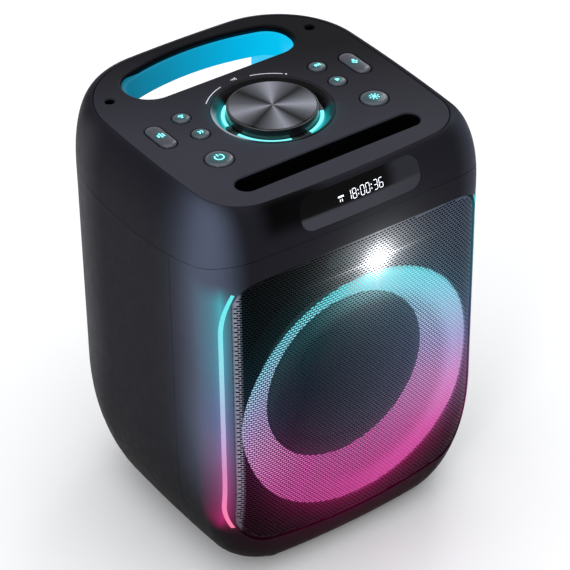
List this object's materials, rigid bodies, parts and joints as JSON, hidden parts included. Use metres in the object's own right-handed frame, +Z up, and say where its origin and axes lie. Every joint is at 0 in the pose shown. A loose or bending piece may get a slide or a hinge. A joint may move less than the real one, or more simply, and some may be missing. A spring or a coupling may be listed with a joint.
{
  "type": "party speaker",
  "caption": "Portable party speaker with a glowing ring behind its grille, side light strips, a volume knob, domed keys, a phone slot and a hand opening in the top.",
  "frame": {"origin": "on the floor, under the middle of the cabinet", "axes": "+Z up, -Y out of the front grille, +X to the right as seen from the front"},
  "size_m": [0.252, 0.254, 0.3487],
  "materials": {
    "body_plastic": "fine satin texture",
    "panel_plastic": "smooth satin",
    "liner_plastic": "semi-gloss, lit blue from below the bar",
    "well_plastic": "polished black",
    "knob_plastic": "polished black",
    "knob_metal": "spun, brushed in rings",
    "button_plastic": "polished, with a lit mark in the middle",
    "light_diffuser": "milky, lit from behind",
    "strobe_clear": "clear",
    "reflector_plate": "bright",
    "window_plastic": "polished, tinted so that the digits show through",
    "grille_metal": "perforated with rows of short slots, painted",
    "inner_plastic": "moulded",
    "board": "solder mask",
    "steel": "plated",
    "basket_metal": "black",
    "cone_paper": "pressed, coated paper",
    "rubber": "matt",
    "spider_cloth": "woven, resin dipped",
    "copper_wire": "enamelled winding",
    "ferrite": "ground",
    "socket_plastic": "moulded",
    "socket_metal": "plated",
    "cell_can": "wrapped",
    "sink_metal": "anodised"
  },
  "bodies": {
    "cabinet": {"amplifier_heat_sink": "sink_metal", "aux_socket": "socket_plastic", "baffle": "inner_plastic", "bass_port_tube": "inner_plastic", "battery_cells": "cell_can", "battery_tray": "inner_plastic", "button_switches": "board", "control_board": "board", "control_board_screws": "steel", "display_module": "board", "display_window": "window_plastic", "encoder_body": "steel", "foot_screws": "steel", "front_grille": "grille_metal", "front_shell": "body_plastic", "handle_liner": "liner_plastic", "knob_light_ring": "light_diffuser", "knob_well": "well_plastic", "left_light_strip": "light_diffuser", "light_ring_board": "board", "light_ring_diffuser": "light_diffuser", "main_board": "board", "main_board_pillars": "inner_plastic", "microphone_sockets": "socket_plastic", "panel_screws": "steel", "power_inlet": "socket_plastic", "rear_shell": "body_plastic", "rear_socket_panel": "inner_plastic", "right_light_strip": "light_diffuser", "rubber_feet": "rubber", "socket_board": "board", "socket_panel_screws": "steel", "strip_led_boards": "board", "strobe_leds": "board", "strobe_lens": "strobe_clear", "strobe_reflector": "reflector_plate", "top_panel": "panel_plastic", "top_shell": "body_plastic", "usb_socket": "socket_metal", "woofer_basket": "basket_metal", "woofer_magnet": "ferrite", "woofer_pole_piece": "steel", "woofer_screws": "steel", "woofer_spider": "spider_cloth", "woofer_surround": "rubber", "woofer_top_plate": "steel"},
    "knob": {"volume_knob": "knob_plastic", "knob_disc": "knob_metal", "encoder_shaft": "steel"},
    "cone": {"woofer_cone": "cone_paper", "woofer_dust_cap": "cone_paper", "voice_coil": "copper_wire"},
    "power_key": {"power_button": "button_plastic"},
    "light_key": {"light_button": "button_plastic"},
    "mode_key": {"mode_button": "button_plastic"},
    "pairing_key": {"pairing_button": "button_plastic"},
    "play_key": {"play_button": "button_plastic"},
    "skip_key": {"skip_button": "button_plastic"},
    "bass_key": {"bass_button": "button_plastic"},
    "voice_key": {"voice_button": "button_plastic"}
  },
  "joints": [
    {"name": "volume_turn", "type": "hinge", "parent": "cabinet", "child": "knob", "pos_m": [0, -0.0115, 0.345], "axis": [0, 0, 1], "continuous": true},
    {"name": "cone_travel", "type": "slide", "parent": "cabinet", "child": "cone", "axis": [0, -1, 0], "range_m": [-0.004, 0.004], "stiffness_N_per_m": 900, "deforming": ["woofer_surround", "woofer_spider"]},
    {"name": "power_press", "type": "slide", "parent": "cabinet", "child": "power_key", "axis": [0, 0, -1], "range_m": [0, 0.0006], "stiffness_N_per_m": 400},
    {"name": "light_press", "type": "slide", "parent": "cabinet", "child": "light_key", "axis": [0, 0, -1], "range_m": [0, 0.0006], "stiffness_N_per_m": 400},
    {"name": "mode_press", "type": "slide", "parent": "cabinet", "child": "mode_key", "axis": [0, 0, -1], "range_m": [0, 0.0006], "stiffness_N_per_m": 400},
    {"name": "pairing_press", "type": "slide", "parent": "cabinet", "child": "pairing_key", "axis": [0, 0, -1], "range_m": [0, 0.0006], "stiffness_N_per_m": 400},
    {"name": "play_press", "type": "slide", "parent": "cabinet", "child": "play_key", "axis": [0, 0, -1], "range_m": [0, 0.0006], "stiffness_N_per_m": 400},
    {"name": "skip_press", "type": "slide", "parent": "cabinet", "child": "skip_key", "axis": [0, 0, -1], "range_m": [0, 0.0006], "stiffness_N_per_m": 400},
    {"name": "bass_press", "type": "slide", "parent": "cabinet", "child": "bass_key", "axis": [0, 0, -1], "range_m": [0, 0.0006], "stiffness_N_per_m": 400},
    {"name": "voice_press", "type": "slide", "parent": "cabinet", "child": "voice_key", "axis": [0, 0, -1], "range_m": [0, 0.0006], "stiffness_N_per_m": 400}
  ]
}
